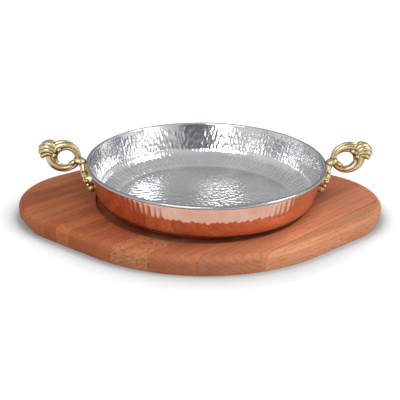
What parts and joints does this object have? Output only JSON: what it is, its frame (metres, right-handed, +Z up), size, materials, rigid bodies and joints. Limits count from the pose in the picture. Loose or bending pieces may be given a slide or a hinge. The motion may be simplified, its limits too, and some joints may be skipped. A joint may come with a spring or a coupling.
{
  "type": "serving pan on a board",
  "caption": "Round hammered copper serving pan with tinned inside, rolled rim and cast brass ring handles, standing in the recess of an oval laminated wooden board.",
  "frame": {"origin": "middle of the board's underside", "axes": "+X along the handles and the board's long side, +Y away from the viewer, +Z up"},
  "size_m": [0.372, 0.275, 0.0775],
  "materials": {
    "copper": "hammered and polished outside, tinned inside",
    "brass": "cast and polished",
    "rivet_copper": "polished",
    "pale_wood": "oiled",
    "red_wood": "oiled",
    "dark_wood": "oiled"
  },
  "bodies": {
    "board": {"board_stave_1": "pale_wood", "board_stave_2": "dark_wood", "board_stave_3": "red_wood", "board_stave_4": "red_wood", "board_stave_5": "dark_wood", "board_stave_6": "red_wood", "board_stave_7": "dark_wood", "board_stave_8": "red_wood", "board_stave_9": "dark_wood", "board_stave_10": "red_wood"},
    "pan": {"pan_body": "copper", "left_handle": "brass", "right_handle": "brass", "left_front_rivet": "rivet_copper", "left_back_rivet": "rivet_copper", "right_front_rivet": "rivet_copper", "right_back_rivet": "rivet_copper"}
  },
  "joints": [
    {"name": "pan_lift", "type": "slide", "parent": "board", "child": "pan", "axis": [0, 0, 1], "range_m": [0, 0.06]}
  ]
}
